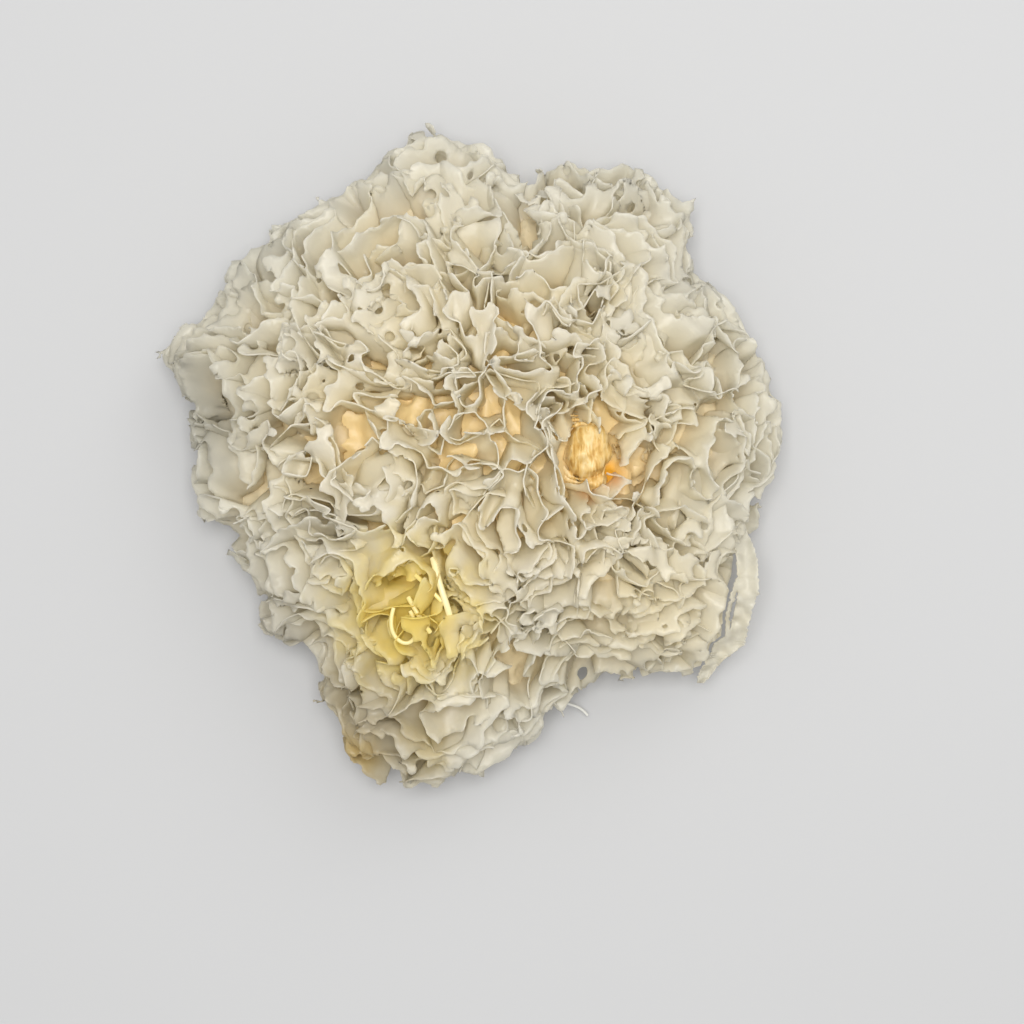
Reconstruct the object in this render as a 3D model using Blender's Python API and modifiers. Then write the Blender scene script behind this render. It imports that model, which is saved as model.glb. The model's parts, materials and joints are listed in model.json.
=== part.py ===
"""A soaked snow fungus, lying as it does on a plate: a ruffled head of folded fronds round a hard stub.

Every frond forks from one place low inside the head. Each is fleshy near the fork and opens into
folded sheets towards its rim. It keeps to its own share of the head, so the clefts are real gaps.
Metres, +Z up. X runs across the head and Y along it, and the flat underside rests on Z = 0.
"""

import math

import bmesh
import bpy
from mathutils import Vector

# The head's overall form: a low dome, flat below, whose rim is lifted off the plate
HEIGHT = 0.057
RIM_HEIGHT = 0.014
FLAT_SHARE = 0.60
LIFT_POWER = 1.6
CROWN_FALL = 2.3
CROWN_FULLNESS = 0.62
CROWN_SLOPE = 0.8

# How far the head reaches from its middle, every 10 degrees counter-clockwise from +X
REACH = (
    0.0800, 0.0812, 0.0800, 0.0785, 0.0755, 0.0857, 0.0871, 0.0821, 0.0760,
    0.0825, 0.0858, 0.0800, 0.0770, 0.0785, 0.0805, 0.0785, 0.0850, 0.0745,
    0.0728, 0.0723, 0.0664, 0.0660, 0.0690, 0.0655, 0.0740, 0.0857, 0.0866,
    0.0828, 0.0750, 0.0685, 0.0660, 0.0725, 0.0818, 0.0810, 0.0765, 0.0760,
)
REACH_SPARE = 0.0030
REACH_LIMIT = 0.0003
CURVE_SCALE = 10.0

# The place inside the head where the fronds fork, and how far out they stay fleshy
FORK = Vector((0.014, 0.0, 0.012))
FLESHY_SHARE = 0.60
FLESHY_SLOPE = 0.08

# The folds of a frond, and the drift that makes them wander
FOLD_LENGTH = 0.018
FOLD_FLESH = 0.080
FOLD_SLOPE = 0.030
SPREAD_AT = 0.080
SPREAD_POWER = 0.55
SWAY_LENGTH = 0.024
SWAY = 0.018
CURL_LENGTH = 0.010
CURL = 0.006
RAGGED_LENGTH = 0.009
RAGGED = 0.012

# The clefts between fronds
CLEFT = 0.0024
CLEFT_SWAY_LENGTH = 0.030
CLEFT_SWAY = 0.020
UPWARD_STRETCH = 1.5

# Azimuth and elevation of the middle of each frond, in degrees, seen from the fork, and its fold seed
OUTER_ELEVATION = 8
FROND_PLACES = {
    "frond_right": (2, OUTER_ELEVATION, 9),
    "frond_upper_right": (47, OUTER_ELEVATION, 72),
    "frond_top": (92, OUTER_ELEVATION, 72),
    "frond_upper_left": (130, OUTER_ELEVATION, 72),
    "frond_left": (168, OUTER_ELEVATION, 27),
    "frond_lower_left": (208, OUTER_ELEVATION, 63),
    "frond_bottom_left": (248, OUTER_ELEVATION, 9),
    "frond_bottom": (285, OUTER_ELEVATION, 0),
    "frond_lower_right": (325, OUTER_ELEVATION, 54),
    "crown_right": (20, 58, 9),
    "crown_top": (95, 52, 10),
    "crown_left": (165, 50, 11),
    "crown_bottom_left": (232, 50, 12),
    "crown_bottom_right": (305, 54, 13),
}

# Fineness of the growth, and the share of its faces that each frond keeps
VOXEL = 0.0011
KEPT_FACES = 0.0240
SIDE = 0.095
SKY = 0.066
GROUND_DEPTH = 0.003
BOX_PAD = 0.008
SCAN_STEP = 6
SCAN_SLACK = 0.08
SCAN_FAR = 0.120
DENSITY_SCALE = 100.0

# Seeds of the noises that all fronds share
SWAY_SEED = 20
CURL_SEED = 21
CLEFT_SEED = 30
RAGGED_SEED = 40

# The hard stub that the fungus grew on, a knot between the crown fronds
STUB_FOOT = Vector((0.0190, 0.0004, 0.024))
STUB_TOP = Vector((0.0286, 0.0011, 0.0485))
STUB_FOOT_RADIUS = 0.0030
STUB_RADIUS = 0.0058
STUB_SIDES = 14
STUB_RINGS = 6
STUB_LUMPS = 0.0009
STUB_CHANNEL = 0.0092

# A torn strip that hangs down the right side
STRIP_PATH = (
    Vector((0.0700, -0.0235, 0.0330)),
    Vector((0.0712, -0.0300, 0.0310)),
    Vector((0.0700, -0.0375, 0.0270)),
    Vector((0.0695, -0.0450, 0.0220)),
    Vector((0.0650, -0.0515, 0.0170)),
    Vector((0.0600, -0.0560, 0.0130)),
)
STRIP_WIDTHS = (0.0030, 0.0046, 0.0052, 0.0050, 0.0042, 0.0016)
STRIP_THICKNESS = 0.0012
STRIP_CHANNEL = 0.0046

# Colours of the flesh
CREAM = (0.80, 0.74, 0.60)
PALE = (0.78, 0.75, 0.66)
YELLOW = (0.80, 0.64, 0.24)
AMBER = (0.55, 0.31, 0.07)
GREY_FRONDS = ("frond_left", "frond_upper_left", "frond_lower_left", "hanging_strip")
YELLOW_FRONDS = ("crown_bottom_left", "frond_bottom_left")


class Graph:
    """A geometry node tree written as expressions: each call adds a node and returns its socket."""

    def __init__(self, name):
        self.tree = bpy.data.node_groups.new(name, "GeometryNodeTree")
        self.tree.interface.new_socket("Geometry", in_out="OUTPUT", socket_type="NodeSocketGeometry")
        self.position = self.tree.nodes.new("GeometryNodeInputPosition").outputs[0]

    def add(self, kind, inputs, output=0, **settings):
        node = self.tree.nodes.new(kind)
        for key, value in settings.items():
            setattr(node, key, value)
        for key, value in inputs.items():
            if isinstance(value, bpy.types.NodeSocket):
                self.tree.links.new(value, node.inputs[key])
            else:
                node.inputs[key].default_value = value
        return node.outputs[output]

    def math(self, operation, *values, clamp=False):
        return self.add("ShaderNodeMath", dict(enumerate(values)), operation=operation, use_clamp=clamp)

    def vector(self, operation, *values, output=0):
        return self.add("ShaderNodeVectorMath", dict(enumerate(values)), output, operation=operation)

    def scaled(self, vector, factor):
        return self.add("ShaderNodeVectorMath", {"Vector": vector, "Scale": factor}, operation="SCALE")

    def least(self, values):
        result = values[0]
        for value in values[1:]:
            result = self.math("MINIMUM", result, value)
        return result

    def noise(self, vector, wavelength, seed, output=0):
        """Smooth noise around 0.5: output 0 is a number and output 1 a vector."""
        inputs = {"Vector": vector, "W": float(seed), "Scale": 1 / wavelength, "Detail": 0.0}
        return self.add("ShaderNodeTexNoise", inputs, output, noise_dimensions="4D")

    def swayed(self, vector, wavelength, amount, seed):
        """The vector moved by smooth noise, at most about a third of amount each way."""
        drift = self.vector("SUBTRACT", self.noise(vector, wavelength, seed, 1), (0.5, 0.5, 0.5))
        return self.vector("ADD", vector, self.scaled(drift, amount))


def direction(azimuth, elevation, stretch=1.0):
    """Unit vector seen from the fork, in degrees, with its rise stretched."""
    turn, rise = math.radians(azimuth), math.radians(elevation)
    flat = math.cos(rise)
    return Vector((math.cos(turn) * flat, math.sin(turn) * flat, math.sin(rise) * stretch)).normalized()


def reach_curve(graph, turn):
    """The outline's reach, read from REACH by the share of a full turn."""
    socket = graph.add("ShaderNodeFloatCurve", {"Value": turn})
    mapping = socket.node.mapping
    curve = mapping.curves[0]
    curve.points[0].location = (0.0, REACH[0] * CURVE_SCALE)
    curve.points[1].location = (1.0, REACH[0] * CURVE_SCALE)
    for index, reach in enumerate(REACH[1:], start=1):
        curve.points.new(index / len(REACH), reach * CURVE_SCALE)
    mapping.update()
    return graph.math("DIVIDE", socket, CURVE_SCALE)


def head_form(graph):
    """Depth inside the head's overall form, and how far out a point lies as a share of that form."""
    x, y, z = (graph.add("ShaderNodeSeparateXYZ", {"Vector": graph.position}, axis) for axis in range(3))
    turn = graph.math("DIVIDE", graph.math("ARCTAN2", y, x), math.tau)
    reach = reach_curve(graph, graph.math("FRACT", graph.math("ADD", turn, 1.0)))
    across = graph.vector("LENGTH", graph.vector("MULTIPLY", graph.position, (1.0, 1.0, 0.0)), output=1)
    share = graph.math("DIVIDE", across, reach)
    fall = graph.math("SUBTRACT", 1.0, graph.math("POWER", share, CROWN_FALL), clamp=True)
    rise = graph.math("POWER", fall, CROWN_FULLNESS)
    crown = graph.math("MULTIPLY_ADD", rise, HEIGHT - RIM_HEIGHT, RIM_HEIGHT)
    lift = graph.math("DIVIDE", graph.math("SUBTRACT", share, FLAT_SHARE), 1 - FLAT_SHARE, clamp=True)
    belly = graph.math("MULTIPLY_ADD", graph.math("POWER", lift, LIFT_POWER), RIM_HEIGHT, -GROUND_DEPTH)
    below_crown = graph.math("MULTIPLY", graph.math("SUBTRACT", crown, z), CROWN_SLOPE)
    inside = graph.math("SUBTRACT", reach, across)
    smooth = graph.math("MINIMUM", below_crown, graph.math("ADD", inside, REACH_SPARE))
    ragged = graph.math("SUBTRACT", graph.noise(graph.position, RAGGED_LENGTH, RAGGED_SEED), 0.5)
    torn = graph.math("MULTIPLY_ADD", ragged, RAGGED, smooth)
    limit = graph.math("ADD", inside, REACH_LIMIT)
    depth = graph.least([torn, limit, graph.math("SUBTRACT", z, belly)])
    fullness = graph.math("MAXIMUM", share, graph.math("DIVIDE", z, crown))
    return depth, fullness


def folded_sheet(graph, seed):
    """Depth inside a sheet that fans out from the fork in folds."""
    wandering = graph.swayed(graph.position, SWAY_LENGTH, SWAY, SWAY_SEED)
    wandering = graph.swayed(wandering, CURL_LENGTH, CURL, CURL_SEED)
    away = graph.vector("SUBTRACT", wandering, tuple(FORK))
    distance = graph.math("MAXIMUM", graph.vector("LENGTH", away, output=1), VOXEL)
    spread = graph.math("POWER", graph.math("DIVIDE", SPREAD_AT, distance), SPREAD_POWER)
    wave = graph.math("SUBTRACT", graph.noise(graph.scaled(away, spread), FOLD_LENGTH, seed), 0.5)
    flesh = graph.math("SUBTRACT", FOLD_FLESH, graph.math("ABSOLUTE", wave))
    return graph.math("MULTIPLY", flesh, FOLD_SLOPE)


def own_share(graph, axis, other_axes):
    """Depth inside the frond's own share of the head, whose clefts are wavy."""
    wavy = graph.swayed(graph.position, CLEFT_SWAY_LENGTH, CLEFT_SWAY, CLEFT_SEED)
    away = graph.vector("SUBTRACT", wavy, tuple(FORK))
    away = graph.vector("MULTIPLY", away, (1.0, 1.0, UPWARD_STRETCH))
    sides = []
    for other in other_axes:
        across = graph.vector("DOT_PRODUCT", away, tuple((axis - other).normalized()), output=1)
        sides.append(graph.math("SUBTRACT", across, CLEFT / 2))
    return graph.least(sides)


def clear_of(graph, start, end, radius):
    """Distance outside a round channel from start to end."""
    along = end - start
    away = graph.vector("SUBTRACT", graph.position, tuple(start))
    part = graph.vector("DOT_PRODUCT", away, tuple(along / along.length_squared), output=1)
    nearest = graph.scaled(tuple(along), graph.math("MULTIPLY", part, 1.0, clamp=True))
    return graph.math("SUBTRACT", graph.vector("DISTANCE", away, nearest, output=1), radius)


def share_box(axis, other_axes):
    """Opposite corners of a box that holds a frond's share of the head, its wavy clefts included."""
    low, high = FORK.copy(), FORK.copy()
    for azimuth in range(0, 360, SCAN_STEP):
        for elevation in range(-30, 91, SCAN_STEP):
            way = direction(azimuth, elevation, UPWARD_STRETCH)
            if all(way.dot(axis) >= way.dot(other) - SCAN_SLACK for other in other_axes):
                far = FORK + direction(azimuth, elevation) * SCAN_FAR
                low = Vector(map(min, low, far))
                high = Vector(map(max, high, far))
    pad = Vector((BOX_PAD, BOX_PAD, BOX_PAD))
    low = Vector(map(max, low - pad, (-SIDE, -SIDE, -2 * GROUND_DEPTH)))
    high = Vector(map(min, high + pad, (SIDE, SIDE, SKY)))
    return low, high


def largest_piece(graph, mesh):
    """The mesh without loose bits and inner bubbles: only its largest connected piece."""
    island = graph.tree.nodes.new("GeometryNodeInputMeshIsland").outputs[0]
    size = graph.add(
        "GeometryNodeAccumulateField", {"Value": 1, "Group ID": island}, 2, data_type="INT", domain="POINT"
    )
    largest = graph.add("GeometryNodeAttributeStatistic", {"Geometry": mesh, 2: size}, 4)
    small = graph.add("FunctionNodeCompare", {0: size, 1: largest}, operation="LESS_THAN")
    return graph.add("GeometryNodeDeleteGeometry", {"Geometry": mesh, "Selection": small})


def growth(name, axis, other_axes, seed, material):
    """The node tree that grows one frond as a closed solid."""
    graph = Graph(name)
    depth, fullness = head_form(graph)
    root = graph.math("MULTIPLY", graph.math("SUBTRACT", FLESHY_SHARE, fullness), FLESHY_SLOPE)
    body = graph.math("MAXIMUM", folded_sheet(graph, seed), root)
    limits = [body, depth, own_share(graph, axis, other_axes)]
    limits.append(clear_of(graph, STUB_FOOT, STUB_TOP.lerp(STUB_FOOT, -1.0), STUB_CHANNEL))
    for start, end in zip(STRIP_PATH, STRIP_PATH[1:]):
        limits.append(clear_of(graph, start, end, STRIP_CHANNEL))
    density = graph.math("MULTIPLY_ADD", graph.least(limits), DENSITY_SCALE, 1.0)
    low, high = share_box(axis, other_axes)
    counts = [round(length / VOXEL) for length in high - low]
    cube = graph.add("GeometryNodeVolumeCube", {
        "Density": density, "Min": tuple(low), "Max": tuple(high),
        "Resolution X": counts[0], "Resolution Y": counts[1], "Resolution Z": counts[2],
    })
    mesh = graph.add("GeometryNodeVolumeToMesh", {"Volume": cube, "Threshold": 1.0})
    coloured = graph.add("GeometryNodeSetMaterial", {"Geometry": largest_piece(graph, mesh), "Material": material})
    output = graph.tree.nodes.new("NodeGroupOutput")
    graph.tree.links.new(coloured, output.inputs[0])
    return graph.tree


def flesh(name, colour, roughness):
    """A material of one colour."""
    material = bpy.data.materials.new(name)
    material.use_nodes = True
    shader = material.node_tree.nodes["Principled BSDF"]
    shader.inputs["Base Color"].default_value = (*colour, 1.0)
    shader.inputs["Roughness"].default_value = roughness
    shader.inputs["Metallic"].default_value = 0.0
    return material


def add_object(name, mesh, collection, material):
    obj = bpy.data.objects.new(name, mesh)
    collection.objects.link(obj)
    mesh.materials.append(material)
    return obj


def ground_cutter():
    """A block below Z = 0 that cuts the underside flat."""
    mesh = bpy.data.meshes.new("ground_cutter")
    block = bmesh.new()
    bmesh.ops.create_cube(block, size=1.0)
    bmesh.ops.scale(block, vec=(4 * SIDE, 4 * SIDE, SIDE), verts=block.verts)
    bmesh.ops.translate(block, vec=(0.0, 0.0, -SIDE / 2), verts=block.verts)
    block.to_mesh(mesh)
    block.free()
    cutter = bpy.data.objects.new("ground_cutter", mesh)
    collection = bpy.data.collections.new("cutters")
    bpy.context.scene.collection.children.link(collection)
    collection.objects.link(cutter)
    cutter.hide_render = True
    cutter.display_type = "WIRE"
    return cutter


def add_frond(name, axes, cutter, collection, material):
    """One frond: grown in its share of the head, thinned to flat facets and cut flat below."""
    seed = FROND_PLACES[name][2]
    others = [axis for key, axis in axes.items() if key != name]
    frond = add_object(name, bpy.data.meshes.new(name), collection, material)
    grown = frond.modifiers.new("grown", "NODES")
    grown.node_group = growth(name, axes[name], others, seed, material)
    facets = frond.modifiers.new("facets", "DECIMATE")
    facets.ratio = KEPT_FACES
    facets.use_collapse_triangulate = True
    cut = frond.modifiers.new("flat_underside", "BOOLEAN")
    cut.operation = "DIFFERENCE"
    cut.solver = "EXACT"
    cut.object = cutter


def add_stub(collection, material):
    """The stub: a lumpy knot on a tapering foot."""
    mesh = bpy.data.meshes.new("stub")
    knot = bmesh.new()
    bmesh.ops.create_uvsphere(knot, u_segments=STUB_SIDES, v_segments=STUB_RINGS, radius=STUB_RADIUS)
    along = STUB_TOP - STUB_FOOT
    tilt = along.to_track_quat("Z", "Y")
    for vert in knot.verts:
        turn = math.atan2(vert.co.y, vert.co.x)
        vert.co.z -= STUB_RADIUS
        lump = 1.0 + STUB_LUMPS / STUB_RADIUS * math.cos(3 * turn) * math.cos(vert.co.z / STUB_RADIUS)
        vert.co.x *= lump
        vert.co.y *= lump
        sunk = max(0.0, -vert.co.z / STUB_RADIUS - 1.0)
        narrow = 1.0 - sunk * (1.0 - STUB_FOOT_RADIUS / STUB_RADIUS)
        foot = -sunk * (along.length - 2 * STUB_RADIUS)
        vert.co = STUB_TOP + tilt @ Vector((vert.co.x * narrow, vert.co.y * narrow, vert.co.z + foot))
    knot.to_mesh(mesh)
    knot.free()
    mesh.shade_smooth()
    add_object("stub", mesh, collection, material)


def add_strip(collection, material):
    """The hanging strip: a flat band laid along its path and given its thickness."""
    mesh = bpy.data.meshes.new("hanging_strip")
    band = bmesh.new()
    rows = []
    for index, (centre, width) in enumerate(zip(STRIP_PATH, STRIP_WIDTHS)):
        before = STRIP_PATH[max(index - 1, 0)]
        after = STRIP_PATH[min(index + 1, len(STRIP_PATH) - 1)]
        out = (after - before).cross(Vector((0.0, 0.0, 1.0))).normalized()
        rows.append([band.verts.new(centre + out * width * side / 2) for side in (-1, 1)])
    for (left, right), (next_left, next_right) in zip(rows, rows[1:]):
        band.faces.new((left, next_left, next_right, right))
    band.to_mesh(mesh)
    band.free()
    strip = add_object("hanging_strip", mesh, collection, material)
    body = strip.modifiers.new("thickness", "SOLIDIFY")
    body.thickness = STRIP_THICKNESS
    body.offset = 0.0


def main():
    for old in list(bpy.data.objects):
        bpy.data.objects.remove(old)
    fungus = bpy.data.collections.new("snow_fungus")
    bpy.context.scene.collection.children.link(fungus)
    cream = flesh("cream_flesh", CREAM, 0.35)
    pale = flesh("pale_flesh", PALE, 0.30)
    yellow = flesh("yellow_flesh", YELLOW, 0.35)
    amber = flesh("amber_stub", AMBER, 0.40)
    finishes = {name: pale for name in GREY_FRONDS} | {name: yellow for name in YELLOW_FRONDS}
    cutter = ground_cutter()
    axes = {name: direction(*place[:2], UPWARD_STRETCH) for name, place in FROND_PLACES.items()}
    for name in axes:
        add_frond(name, axes, cutter, fungus, finishes.get(name, cream))
    add_stub(fungus, amber)
    add_strip(fungus, finishes["hanging_strip"])


main()
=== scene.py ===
"""Looks of a soaked snow fungus: thin, torn membranes that fan out of a fleshy heart round an amber stub.

The membranes are the walls between random cells of two kinds, which fan out along the rays that leave
the fork of the fronds. They are trimmed by the head's form and torn at their rims, drawn taut, thinned
and given a thickness. Lengths inside the growth are in millimetres, and in metres in the scene.
"""

from __future__ import annotations

import json
import logging
import math
from collections.abc import Iterator
from dataclasses import dataclass, field
from enum import Enum
from functools import cache

import bpy
import numpy as np
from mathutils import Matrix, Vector
from mathutils.bvhtree import BVHTree

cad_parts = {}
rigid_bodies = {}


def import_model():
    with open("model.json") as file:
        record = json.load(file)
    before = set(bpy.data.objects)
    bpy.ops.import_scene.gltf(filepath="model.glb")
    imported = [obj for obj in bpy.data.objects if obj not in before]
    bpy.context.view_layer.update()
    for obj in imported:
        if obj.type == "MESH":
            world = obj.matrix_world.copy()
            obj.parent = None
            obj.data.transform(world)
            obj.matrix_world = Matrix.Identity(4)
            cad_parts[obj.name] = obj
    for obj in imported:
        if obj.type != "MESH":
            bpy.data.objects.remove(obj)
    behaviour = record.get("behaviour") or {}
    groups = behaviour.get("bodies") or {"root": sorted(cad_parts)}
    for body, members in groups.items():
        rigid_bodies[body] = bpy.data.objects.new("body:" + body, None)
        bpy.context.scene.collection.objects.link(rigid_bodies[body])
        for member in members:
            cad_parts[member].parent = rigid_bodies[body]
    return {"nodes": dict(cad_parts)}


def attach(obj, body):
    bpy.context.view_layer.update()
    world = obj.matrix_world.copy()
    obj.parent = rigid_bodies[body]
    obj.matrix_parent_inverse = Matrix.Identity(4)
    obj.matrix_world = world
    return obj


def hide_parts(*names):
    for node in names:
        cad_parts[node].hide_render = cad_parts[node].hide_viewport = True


log = logging.getLogger("snow_fungus")

MM = 0.001
TINY = 1e-6
BODY = "root"
Colour = tuple[float, float, float]
Place = tuple[float, float, float]


class Slot(Enum):
    """The record's material slots."""

    CREAM = "cream_flesh"
    PALE = "pale_flesh"
    YELLOW = "yellow_flesh"
    AMBER = "amber_stub"


FROND_SLOTS: dict[str, Slot] = {
    "frond_right": Slot.CREAM,
    "frond_upper_right": Slot.CREAM,
    "frond_top": Slot.CREAM,
    "frond_upper_left": Slot.PALE,
    "frond_left": Slot.PALE,
    "frond_lower_left": Slot.PALE,
    "frond_bottom_left": Slot.YELLOW,
    "frond_bottom": Slot.CREAM,
    "frond_lower_right": Slot.CREAM,
    "crown_right": Slot.CREAM,
    "crown_top": Slot.CREAM,
    "crown_left": Slot.CREAM,
    "crown_bottom_left": Slot.YELLOW,
    "crown_bottom_right": Slot.CREAM,
}


@dataclass(frozen=True)
class StripRow:
    """One row across the hanging strip: its place and both edges, in millimetres."""

    y: float
    left: float
    right: float
    z: float


STRIP_ROWS = (
    StripRow(-15.0, 63.0, 69.0, 19.0),
    StripRow(-23.0, 66.8, 71.6, 26.0),
    StripRow(-29.1, 67.0, 72.2, 29.0),
    StripRow(-33.8, 65.4, 72.2, 28.5),
    StripRow(-38.4, 64.5, 70.8, 25.5),
    StripRow(-44.9, 64.4, 69.8, 21.0),
    StripRow(-47.0, 61.8, 69.6, 19.5),
    StripRow(-49.4, 61.2, 66.8, 17.5),
    StripRow(-51.2, 60.2, 64.2, 16.5),
    StripRow(-55.4, 58.2, 61.4, 13.5),
    StripRow(-57.4, 58.2, 59.6, 12.0),
)


# Noise


class Lattice:
    """Random numbers that belong to the cells of a unit lattice."""

    TABLE = 256

    def __init__(self, seed: int) -> None:
        """Shuffle the cells and fill them.

        Args:
            seed: Number that fixes the pattern.
        """
        self.rng = np.random.default_rng(seed)
        self.order = np.concatenate([self.rng.permutation(self.TABLE)] * 3).astype(np.int32)
        self.fill()

    def fill(self) -> None:
        """Draw what each cell holds."""
        raise NotImplementedError

    def around(self, cell: np.ndarray) -> Iterator[tuple[np.ndarray, np.ndarray]]:
        """Go through the 27 cells round each point, its own among them.

        Args:
            cell: Each point's own cell, of shape (n, 3).

        Yields:
            The cells' numbers, and how far they lie from the points' own.
        """
        last = self.TABLE - 1
        for dx in (-1, 0, 1):
            first = self.order[(cell[:, 0] + dx) & last]
            for dy in (-1, 0, 1):
                second = self.order[first + ((cell[:, 1] + dy) & last)]
                for dz in (-1, 0, 1):
                    third = self.order[second + ((cell[:, 2] + dz) & last)]
                    yield third, np.array((dx, dy, dz), dtype=np.float32)


class Noise(Lattice):
    """Smooth gradient noise of a point, about -1 to 1, one wave per unit of length."""

    GAIN = 1.6

    def fill(self) -> None:
        """Draw a slope for each cell."""
        slopes = self.rng.normal(size=(self.TABLE, 3))
        slopes /= np.linalg.norm(slopes, axis=1, keepdims=True)
        self.slopes = (slopes * self.GAIN).astype(np.float32)

    def __call__(self, points: np.ndarray) -> np.ndarray:
        """Noise at points.

        Args:
            points: Array whose last axis is x, y, z, in waves.

        Returns:
            Array of values without the last axis.
        """
        cell = np.floor(points)
        rest = (points - cell).astype(np.float32)
        cell = cell.astype(np.int32) & (self.TABLE - 1)
        ease = rest * rest * rest * (rest * (rest * 6 - 15) + 10)
        planes = []
        for dx in (0, 1):
            first = self.order[cell[..., 0] + dx]
            lines = []
            for dy in (0, 1):
                second = self.order[first + cell[..., 1] + dy]
                ends = []
                for dz in (0, 1):
                    slope = self.slopes[self.order[second + cell[..., 2] + dz]]
                    ends.append(
                        slope[..., 0] * (rest[..., 0] - dx)
                        + slope[..., 1] * (rest[..., 1] - dy)
                        + slope[..., 2] * (rest[..., 2] - dz)
                    )
                lines.append(ends[0] + (ends[1] - ends[0]) * ease[..., 2])
            planes.append(lines[0] + (lines[1] - lines[0]) * ease[..., 1])
        return planes[0] + (planes[1] - planes[0]) * ease[..., 0]


class Scatter(Lattice):
    """Random points, one in each unit cell. Its value is the distance to the nearest of them."""

    FAR = 9.0

    def fill(self) -> None:
        """Draw the points' places inside their cells."""
        self.places = self.rng.random((self.TABLE, 3), dtype=np.float32)

    def __call__(self, points: np.ndarray) -> np.ndarray:
        """Distance to the nearest random point.

        Args:
            points: Array of shape (n, 3), in cells.

        Returns:
            Array of n distances, in cells.
        """
        cell = np.floor(points)
        rest = (points - cell).astype(np.float32)
        nearest = np.full(len(points), self.FAR, dtype=np.float32)
        for number, offset in self.around(cell.astype(np.int32)):
            away = self.places[number] + offset - rest
            nearest = np.minimum(nearest, (away * away).sum(axis=1))
        return np.sqrt(nearest)


class Foam(Scatter):
    """Cells round random points, each of one of two kinds. It changes sign on the walls between kinds."""

    FIRST_KIND = 0.5

    def fill(self) -> None:
        """Draw the points' places inside their lattice cells, and their kinds."""
        super().fill()
        self.kinds = self.rng.random(self.TABLE) < self.FIRST_KIND

    def __call__(self, points: np.ndarray) -> np.ndarray:
        """How much nearer a point is to the first kind than to the second.

        Args:
            points: Array of shape (n, 3), in lattice cells.

        Returns:
            Array of n differences of distance, in lattice cells.
        """
        cell = np.floor(points)
        rest = (points - cell).astype(np.float32)
        one = np.full(len(points), self.FAR, dtype=np.float32)
        two = one.copy()
        for number, offset in self.around(cell.astype(np.int32)):
            away = self.places[number]
            away += offset - rest
            distance = np.einsum("ij,ij->i", away, away)
            kind = self.kinds[number]
            np.minimum(one, distance, out=one, where=kind)
            np.minimum(two, distance, out=two, where=~kind)
        return np.sqrt(two) - np.sqrt(one)


@dataclass(frozen=True)
class Tear:
    """One kind of bite out of a rim.

    Attributes:
        seed: Seed of its pattern.
        size: Usual distance between two bites, in millimetres.
        level: Distance from a bite's middle, in sizes, at which the rim stays where it is.
        depth: How fast a bite deepens towards its middle, in millimetres per size.
        shift: How far the pattern moves from one family's seed to the next.
    """

    seed: int
    size: float
    level: float
    depth: float
    shift: float = 0.0

    def __call__(self, points: np.ndarray, family_seed: int = 0) -> np.ndarray:
        """How far the rim is moved outwards at points, less than nothing in a bite.

        Args:
            points: Array of shape (n, 3).
            family_seed: Seed of the membranes' family.

        Returns:
            Array of n lengths in millimetres.
        """
        pattern = scatter(self.seed)
        return (pattern(points / self.size + family_seed * self.shift) - self.level) * self.depth


@cache
def scatter(seed: int) -> Scatter:
    """The random points of a seed, drawn once."""
    return Scatter(seed)


@dataclass
class Drift:
    """A smooth displacement of points, kept on a coarse grid and read between its knots."""

    waves: tuple[tuple[float, float, int], ...]
    knot: float = 2.0
    half_size: float = 96.0
    height: float = 74.0
    floor: float = -8.0

    def __post_init__(self) -> None:
        """Work the displacement out at every knot."""
        flat = np.arange(-self.half_size, self.half_size, self.knot, dtype=np.float32)
        tall = np.arange(self.floor, self.height, self.knot, dtype=np.float32)
        knots = np.stack(np.meshgrid(flat, flat, tall, indexing="ij"), axis=-1)
        self.start = np.array((flat[0], flat[0], tall[0]), dtype=np.float32)
        self.values = np.zeros_like(knots)
        for length, amount, seed in self.waves:
            for axis in range(3):
                self.values[..., axis] += Noise(seed + axis)(knots / length) * amount

    def __call__(self, points: np.ndarray) -> np.ndarray:
        """Displacement at points.

        Args:
            points: Array of shape (n, 3).

        Returns:
            Array of the same shape.
        """
        place = (points - self.start) / np.float32(self.knot)
        cell = np.floor(place).astype(np.int32)
        part = (place - cell).astype(np.float32)
        cell = np.clip(cell, 0, np.array(self.values.shape[:3]) - 2)
        total = np.zeros_like(part)
        for corner in np.ndindex(2, 2, 2):
            weight = np.ones(len(points), dtype=np.float32)
            for axis in range(3):
                weight *= part[:, axis] if corner[axis] else 1 - part[:, axis]
            index = tuple((cell + corner).T)
            total += weight[:, None] * self.values[index]
        return total


# Form of the head


@dataclass
class Depths:
    """Depths of points inside the head.

    Attributes:
        share: Share of the way from the axis to the outline.
        below: Depth below the crown or behind the outline, whichever is less.
        under: Depth below the crown alone.
        inside: Depth behind the outline alone.
        above: Height above the underside.
        flesh: Depth below which the head is solid flesh.
    """

    share: np.ndarray
    below: np.ndarray
    under: np.ndarray
    inside: np.ndarray
    above: np.ndarray
    flesh: np.ndarray


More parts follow.
